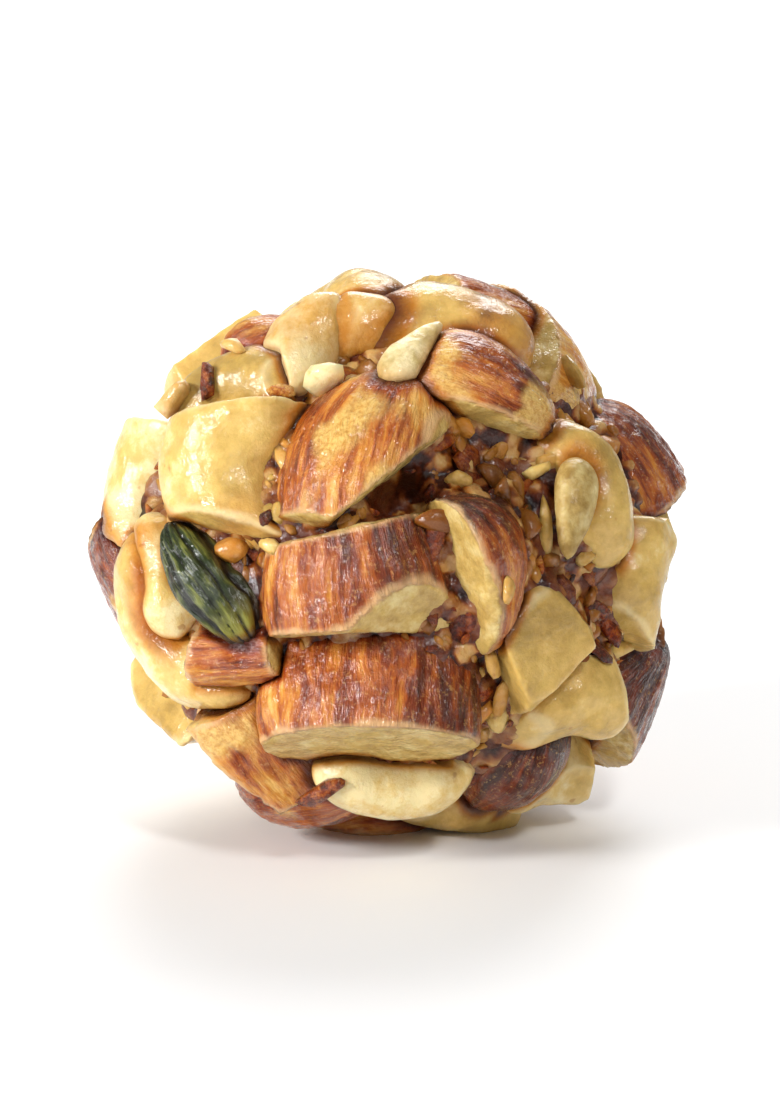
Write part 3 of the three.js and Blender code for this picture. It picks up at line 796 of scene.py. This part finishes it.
def seed_finish():
    """Peeled melon seed: cream with slightly darker patches."""
    material, tree = new_material("peeled melon seed")
    tone = add(tree, "Attribute", out="Fac", attribute_name="tone")
    place = add(tree, "TexCoord", out="Object")
    cloud = add(tree, "TexNoise", {"Vector": place, "Scale": 0.9 / MM, "Detail": 4, "Roughness": 0.6})
    shade = add(tree, "Math", {0: tone, 1: 0.9, 2: cloud}, operation="MULTIPLY_ADD")
    creams = [(0.45, "#efdcaa"), (0.66, "#cdb77c"), (0.86, "#b5985a"), (1.0, "#98793f")]
    cream = add(tree, "ValToRGB", {"Fac": shade}, stops=creams)
    peeled = {"relief": 0.2 * MM, "rough": 0.4, "gloss": 0.4, "rippling": 0.12 * MM}
    syruped(tree, cream, cloud, **peeled, glow=0.25, glow_colour=(1.0, 0.75, 0.4))
    return material


def binder_finish():
    """Mashed dates and syrup full of fine nut crumbs: sticky, red brown, with paler grains."""
    material, tree = new_material("date and syrup binder")
    tone = add(tree, "Attribute", out="Fac", attribute_name="tone")
    place = add(tree, "TexCoord", out="Object")
    fine = add(tree, "TexNoise", {"Vector": place, "Scale": 1.2 / MM, "Detail": 5, "Roughness": 0.6})
    shade = add(tree, "Math", {0: fine, 1: 0.5, 2: tone}, operation="MULTIPLY_ADD")
    shade = add(tree, "Math", {0: shade, 1: -0.2}, operation="ADD")  # back on the ramp
    browns = [(0.1, "#3a160d"), (0.4, "#6a3319"), (0.7, "#965f2e"), (0.95, "#c69c5e")]
    brown = add(tree, "ValToRGB", {"Fac": shade}, stops=browns)
    sticky = {"relief": 0.2 * MM, "rough": 0.34, "gloss": 0.9, "rippling": 0.18 * MM}
    syruped(tree, brown, fine, **sticky, glow=0.3, glow_colour=(1.0, 0.4, 0.15))
    return material


FINISHES = {
    "almond": almond_finish(),
    "cashew": cashew_finish(),
    "pistachio": pistachio_finish(),
    "seed": seed_finish(),
    "binder": binder_finish(),
}


# ---- Building it ----


def settle(thing, kind, *nodes):
    """Gives a piece its finish and its place on the one body, and hides the nodes of the construction that it
    takes the place of.
    """
    thing.data.materials.append(FINISHES[kind])
    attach(thing, "root")
    if nodes:
        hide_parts(*nodes)


def build_kernels():
    """Every kernel, as its values and as its object. They all have their places before one is finished,
    because each is grooved, and browned by syrup and painted shade, where its neighbours press on it."""
    pieces = [front_piece(row, seed) for seed, row in enumerate(FRONT_PIECES)]
    pieces.append(foot_piece(len(pieces)))
    numbered = sorted((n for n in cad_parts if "_side_" in n), key=lambda n: int(n.split("_")[-1]))
    pieces += [rest_piece(name, REST_SEED + number) for number, name in enumerate(numbered)]
    things = []
    for piece in pieces:
        thing = finish_kernel(piece, pieces)
        settle(thing, piece["kind"], piece["name"])
        things.append(thing)
    return pieces, things


BINDER_FINENESS = 7  # subdivisions, which give faces about 0.3 mm wide
BINDER_DEPTH = 3.3  # from the outside of the nuts down to the binder between them
BINDER_FOOT = 0.5  # how far above the table it stops
CLING = 1.0  # how much higher the binder stands against a kernel
GRAIN = 0.9  # the width of its coarse grains
PIT = (0.9, 3.3)  # the deepest gap of the best side, right of and above the ball's middle
PIT_RADIUS = (1.2, 2.4)  # of its floor and of its rim
PIT_DEPTH = 3


def in_pit(points):
    """1 in the pit and 0 outside it."""
    seen = moved(FRONT_VIEW.inverted(), points)
    floor, rim = PIT_RADIUS
    return ease(rim, floor, np.linalg.norm(seen[:, :2] - PIT, axis=1)) * (seen[:, 2] > 0)


def build_binder(pieces):
    """The binder with its coarse grains, which fills the ball between the kernels and clings to them."""
    bm = bmesh.new()
    bmesh.ops.create_icosphere(bm, subdivisions=BINDER_FINENESS, radius=1)
    mesh = bpy.data.meshes.new("binder_look")
    bm.to_mesh(mesh)
    bm.free()
    unit = read_vectors(mesh.vertices, "co")
    unit /= np.linalg.norm(unit, axis=1, keepdims=True)
    middle = np.array(BALL_MIDDLE)
    half = np.array(BALL / 2)
    low = unit * (half - BINDER_DEPTH)
    deepest = pressed_on(None, pieces, low + unit * 0.8 + middle)
    uneven = 0.35 * np.column_stack([lumps(low / 2, k) for k in (5, 6, 7)])
    away, own = grains(low / GRAIN + uneven)
    domes = np.sqrt(np.clip(1 - (away / 0.75) ** 2, 0, 1))
    out = CLING * ease(-1.2, 0.3, deepest) + 0.4 * lumps(low / 3, 1)
    out += 0.4 * GRAIN * domes * (0.5 + own)
    out += 0.06 * lumps(low * 2, 3) - PIT_DEPTH * in_pit(low + middle)
    points = low + unit * (out[:, None] - 0.3) + middle
    points[:, 2] = np.maximum(points[:, 2], BINDER_FOOT)
    set_points(mesh, points * MM)
    # Syrup and painted shade: darker between the grains.
    set_attribute(mesh, "crevice", ease(0.45, 0.8, away))
    set_attribute(mesh, "tone", own)
    thing = new_object("binder_look", mesh)
    settle(thing, "binder", "binder")
    return thing


# ---- Crumbs ----
# Broken bits of the same nuts, pressed into the binder between the kernels.

MOULDS = 24  # how many different broken shapes there are
CORNERS = 9  # how many corners each has
CORNER_REACH = (1.3, 1.6)  # how far out they lie before they are worn
CRUMB_DENTS = 0.12  # how uneven a crumb's surface is, as a share of its size
CRUMB_DARKEST = 0.85  # how far the darkest crumbs are darkened, by syrup and, in the dark gaps, by painted shade


def crumb_moulds():
    """Broken shapes of half size 1, each as its points and its faces. Some are worn rounder than others."""
    every_way = {"use_axis_x": True, "use_axis_y": True, "use_axis_z": True}
    moulds = []
    for number in range(MOULDS):
        rng = np.random.default_rng(number)
        bm = bmesh.new()
        for corner in rng.normal(size=(CORNERS, 3)):
            bm.verts.new(corner / np.linalg.norm(corner) * rng.uniform(*CORNER_REACH))
        hull = bmesh.ops.convex_hull(bm, input=bm.verts)
        bmesh.ops.delete(bm, geom=hull["geom_interior"], context="VERTS")
        bmesh.ops.subdivide_edges(bm, edges=bm.edges[:], cuts=1, use_grid_fill=True)
        for _ in range(1 + number % 3):
            bmesh.ops.smooth_vert(bm, verts=bm.verts[:], factor=0.5, **every_way)
        bmesh.ops.recalc_face_normals(bm, faces=bm.faces)
        bm.verts.index_update()
        points = np.array([vertex.co for vertex in bm.verts])
        faces = [[vertex.index for vertex in face.verts] for face in bm.faces]
        moulds.append((points, faces))
        bm.free()
    return moulds


def crumb_values(kind, part, own, tone, darkening, rng):
    """The values that the finish of each kind reads, for one crumb."""
    count = len(own)
    values = {"crevice": np.full(count, CRUMB_DARKEST * darkening), "tone": tone + 0.15 * lumps(own, 3)}
    if kind == "almond":
        values["cut"] = np.full(count, 0.0 if part == "skin" else 1.0)
        values.update(worn=np.zeros(count), rim=np.zeros(count), rib=lumps(own * 2, 5))
        values["grain"] = own * np.array([2.0, 2.0, 0.3]) + rng.uniform(0, 40)
    if kind == "cashew":
        values["rim"] = np.zeros(count)
        values["toast"] = np.full(count, 0.5 * max(0, rng.uniform(-1, 1)))
    if kind == "pistachio":
        values.update(fold=lumps(own * 2, 5), grain=own * 2)
    return values


def build_crumbs(name, kind, crumbs, moulds):
    """One joined piece. Each crumb is (place, outward, half sizes, turn, part, tone, soaked)."""
    places, faces, gathered, first = [], [], {}, 0
    for number, (place, outward, half, turn, part, tone, darkening) in enumerate(crumbs):
        rng = np.random.default_rng([number, len(name)])  # every crumb has picks of its own
        points, sides = moulds[rng.integers(MOULDS)]
        own = points * half
        own = own * (1 + CRUMB_DENTS * lumps(own * 1.3 + number, 2)[:, None])
        for key, value in crumb_values(kind, part, own, tone, darkening, rng).items():
            gathered.setdefault(key, []).append(value)
        stance = Vector((0, 0, 1)).rotation_difference(outward).to_matrix().to_4x4()
        stance = Matrix.Translation(place) @ stance @ turned(0, 0, turn, "Z")
        placed = moved(stance, own)
        placed[:, 2] = np.maximum(placed[:, 2], 0)
        places.append(placed * MM)
        faces += [[first + corner for corner in side] for side in sides]
        first += len(points)
    mesh = bpy.data.meshes.new(name)
    mesh.from_pydata(np.concatenate(places), [], faces)
    for key, values in gathered.items():
        set_attribute(mesh, key, np.concatenate(values))
    settle(new_object(name, mesh), kind)


def first_met(trees, origin, direction):
    """Where a ray first meets the ball, the way the surface faces there, and the number of the tree."""
    best = None
    for number, tree in enumerate(trees):
        place, normal, _, away = tree.ray_cast(origin, direction)
        if place is not None and (best is None or away < best[3]):
            best = (place, normal, number, away)
    return best


CRUMB_SPOTS = 3200  # directions that are tried, spread evenly over the ball
CRUMB_STRAY = 0.02  # how far each strays from its even place
CRUMB_TILT = 0.45  # how far each leans over
SMALLEST_CRUMB = 0.38  # half its width
CRUMB_RANGE = 0.75  # how much more half the width of a large one is
FLAKE = (1.2, 1, 0.5)  # how much longer and thinner a flake of skin is than a crumb
PISTACHIO_FROM = 0.985  # the few picks above this are green
UNDERSIDE = -0.93  # directions lower than this end at the table
RAY_START = 30  # how far from the ball's middle a ray towards it starts
VIEW_START = 40  # the same for a ray from the viewer

# Dark gaps of the best side, where the crumbs are darkened as painted shade: the middle, as seen from the
# front, and how far each reaches.
SHADED_GAPS = [
    (Vector((5, 5.5, 16)), 6),
    (Vector((4.5, -5, 17)), 3),
    (Vector((7, -11.5, 13)), 3.5),
    (Vector((-1, 12.3, 12)), 2.5),
]


def darkening_at(place):
    """How dark the crumbs at a place are, from 0 to 1: darkened by syrup in patches about 6 mm wide, and
    by painted shade in the dark gaps."""
    patches = 0.5 + 0.7 * lumps(np.array([place]) / 6, 33)[0]
    seen = FRONT_VIEW.inverted() @ place
    # Painted shade: crumbs in the dark gaps of the best side are darkened.
    gap_shade = max(1.3 - (seen - middle).length / reach for middle, reach in SHADED_GAPS)
    return min(1, max(0.1, patches, gap_shade))


def loose_crumbs(trees, found):
    """Adds the crumbs in the gaps, by kind: more almond, and darker, in patches where syrup has got in and in
    the dark gaps, whose darkening is painted shade.
    """
    rng = np.random.default_rng(11)
    binder_number = len(trees) - 1
    for number in range(CRUMB_SPOTS):
        direction = even_direction(number, CRUMB_SPOTS)
        direction = (direction + Vector(rng.normal(size=3)) * CRUMB_STRAY).normalized()
        pick, wide, long, thick, turn, sunk, tone = rng.uniform(0, 1, 7)
        met = first_met(trees, (BALL_MIDDLE + direction * RAY_START) * MM, -direction)
        if met is None or met[2] != binder_number or direction.z < UNDERSIDE:
            continue
        if in_pit(np.array([met[0] / MM]))[0] > 0.3:  # the pit stays open
            continue
        size = SMALLEST_CRUMB + CRUMB_RANGE * wide**1.8  # far more small ones than large
        half = np.array([size * (1 + 0.6 * long), size, size * (0.6 + 0.4 * thick)])
        place = met[0] / MM - direction * size * (0.1 + 0.6 * sunk)
        darkening = darkening_at(place)
        skin_share = 0.2 + 0.35 * darkening
        almond_share = 0.4 + 0.3 * darkening
        kind, part = "cashew", ""
        if pick < skin_share:
            kind, part, half = "almond", "skin", half * FLAKE
        elif pick < almond_share:
            kind, part = "almond", "flesh"
        elif pick > PISTACHIO_FROM:
            kind = "pistachio"
        tilt = (direction + Vector(rng.normal(size=3)) * CRUMB_TILT).normalized()
        found[kind].append((place, tilt, half, 360 * turn, part, 0.2 + 0.6 * tone, darkening))


# Crumbs that show on the best side: kind, part, place right of and above the ball's middle, half
# sizes, turn, tone, how far syrup has darkened it, and how far it stands out.
FRONT_CRUMBS = [
    ("cashew", "", (-3.7, 10.4), (1.6, 1.3, 1.3), 24, -0.1, 0.0, 0.6),
    ("cashew", "", (-13.2, 9.6), (1.35, 1.25, 1.1), 0, 0.2, 0.0, 0.2),
    ("almond", "skin", (-14.4, 8.8), (0.9, 0.6, 0.4), 30, 0.6, 0.2, 0.3),
    ("cashew", "", (11.3, 11.7), (1.4, 1.3, 1.2), 20, 0.8, 0.1, 0.2),
    ("cashew", "", (14.4, -6.5), (1.8, 1.4, 1.1), 10, 0.5, 0.0, 0.2),
    ("almond", "skin", (-6.9, 10.0), (1.1, 0.8, 0.5), 10, 0.2, 0.0, 0.1),
    ("almond", "skin", (-3.6, -15.2), (1.9, 0.9, 0.5), 5, 0.6, 0.2, 0.2),
    ("cashew", "", (4.1, 4.7), (0.95, 0.9, 0.7), 40, 0.6, 0.1, 0.2),
    ("cashew", "", (9.8, 2.0), (0.6, 2.3, 0.5), 8, 0.6, 0.1, 0.3),
    ("cashew", "", (9.6, 5.0), (1.0, 0.75, 0.7), 0, 0.4, 0.0, 0.2),
    ("cashew", "", (7.3, -2.4), (1.0, 1.0, 0.7), 0, 0.5, 0.2, 0.2),
    ("almond", "skin", (9.2, -0.7), (0.6, 0.7, 0.5), 0, 0.25, 0.1, 0.2),
    ("almond", "flesh", (12.6, -0.5), (0.7, 0.8, 0.5), 0, 0.4, 0.2, 0.2),
    ("almond", "skin", (12.8, -3.1), (1.3, 1.1, 0.5), 30, 0.7, 0.4, 0.2),
    ("cashew", "", (7.1, -10.2), (1.2, 1.8, 0.9), 10, 0.4, 0.0, 0.4),
    ("cashew", "", (7.0, -6.8), (0.9, 1.2, 0.8), -20, 0.5, 0.1, 0.3),
    ("cashew", "", (17.6, -2.6), (1.1, 1.9, 1.0), 0, 0.3, 0.0, 0.0),
    ("almond", "skin", (-7.9, 2.3), (0.9, 0.5, 0.35), 60, 0.8, 0.3, 0.1),
    ("cashew", "", (-7.6, 0.0), (1.0, 0.8, 0.6), 0, 0.3, 0.1, 0.2),
    ("cashew", "", (-9.6, 13.0), (1.2, 0.9, 0.8), 30, 0.2, 0.0, 0.2),
    ("almond", "skin", (-11.2, 11.2), (1.3, 0.8, 0.5), 60, 0.7, 0.2, 0.2),
]


def front_crumbs(trees, found):
    """Adds the crumbs that show on the best side, by kind."""
    to_viewer = (FRONT_VIEW.to_3x3() @ Vector((0, 0, 1))).normalized()
    for kind, part, (right, up), half, turn, tone, darkening, out in FRONT_CRUMBS:
        origin = FRONT_VIEW @ Vector((right, up, VIEW_START))
        met = first_met(trees, origin * MM, -to_viewer)
        if met is None:
            continue
        place = met[0] / MM + met[1] * out
        outward = (met[1] + to_viewer).normalized()
        found[kind].append((place, outward, np.array(half), turn, part, tone, darkening))


pieces, kernel_things = build_kernels()
binder = build_binder(pieces)
depsgraph = bpy.context.evaluated_depsgraph_get()
trees = [BVHTree.FromObject(thing, depsgraph) for thing in [*kernel_things, binder]]
crumbs_by_kind = {"cashew": [], "almond": [], "pistachio": []}
front_crumbs(trees, crumbs_by_kind)
loose_crumbs(trees, crumbs_by_kind)
moulds = crumb_moulds()
for kind, crumbs in crumbs_by_kind.items():
    build_crumbs(kind + "_crumbs", kind, crumbs, moulds)

# ---- Stage ----

FLOOR_HALF = 1.5  # metres
ROOM_LIGHT = 0.23  # soft light from all round, beside the lamps


def build_stage():
    bm = bmesh.new()
    bmesh.ops.create_grid(bm, x_segments=1, y_segments=1, size=FLOOR_HALF)
    mesh = bpy.data.meshes.new("floor")
    bm.to_mesh(mesh)
    bm.free()
    floor = bpy.data.objects.new("floor", mesh)
    bpy.context.collection.objects.link(floor)
    material, tree = new_material("plain pale table")
    surface = add(tree, "BsdfPrincipled", {"Base Color": linear("#f4f4f4"), "Roughness": 0.6})
    add(tree, "OutputMaterial", {"Surface": surface})
    mesh.materials.append(material)
    floor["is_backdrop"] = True

    world = bpy.data.worlds.new("soft white room")
    bpy.context.scene.world = world
    world.use_nodes = True
    background = world.node_tree.nodes["Background"]
    background.inputs["Color"].default_value = (1, 1, 1, 1)
    background.inputs["Strength"].default_value = ROOM_LIGHT


def add_lamp(name, place, size, watts):
    """A square white lamp, size metres wide, that faces the ball."""
    lamp = bpy.data.lights.new(name, "AREA")
    lamp.energy = watts
    lamp.size = size
    thing = bpy.data.objects.new(name, lamp)
    bpy.context.collection.objects.link(thing)
    thing.location = place
    aim = BALL_MIDDLE * MM - Vector(place)
    thing.rotation_euler = aim.to_track_quat("-Z", "Y").to_euler()


def add_camera():
    """A camera that sees the best side as the photo does."""
    distance = 0.5
    tall = 0.072  # metres of the scene from the picture's foot to its top, at the ball
    sensor = 36
    back = turned(90 - FRONT_ELEVATION, 0, 0, "X").to_3x3() @ Vector((0, 0, 1))
    camera = bpy.data.cameras.new("camera")
    camera.sensor_fit = "VERTICAL"
    camera.sensor_height = sensor
    camera.lens = sensor * distance / tall
    camera.clip_start = 0.01
    thing = bpy.data.objects.new("camera", camera)
    bpy.context.collection.objects.link(thing)
    target = BALL_MIDDLE * MM
    thing.location = target + back * distance
    thing.rotation_euler = (-back).to_track_quat("-Z", "Y").to_euler()
    bpy.context.scene.camera = thing


build_stage()
add_lamp("window upper left", (-0.48, -0.26, 0.26), 0.16, 3.8)
add_lamp("lamp above", (0.16, -0.36, 0.4), 0.08, 1.1)
add_lamp("sheet behind", (0.05, 0.36, 0.32), 0.3, 1.8)
add_camera()
bpy.context.scene.view_settings.view_transform = "Standard"

[[list(corner) for corner in box] for box in (cad_box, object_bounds())]
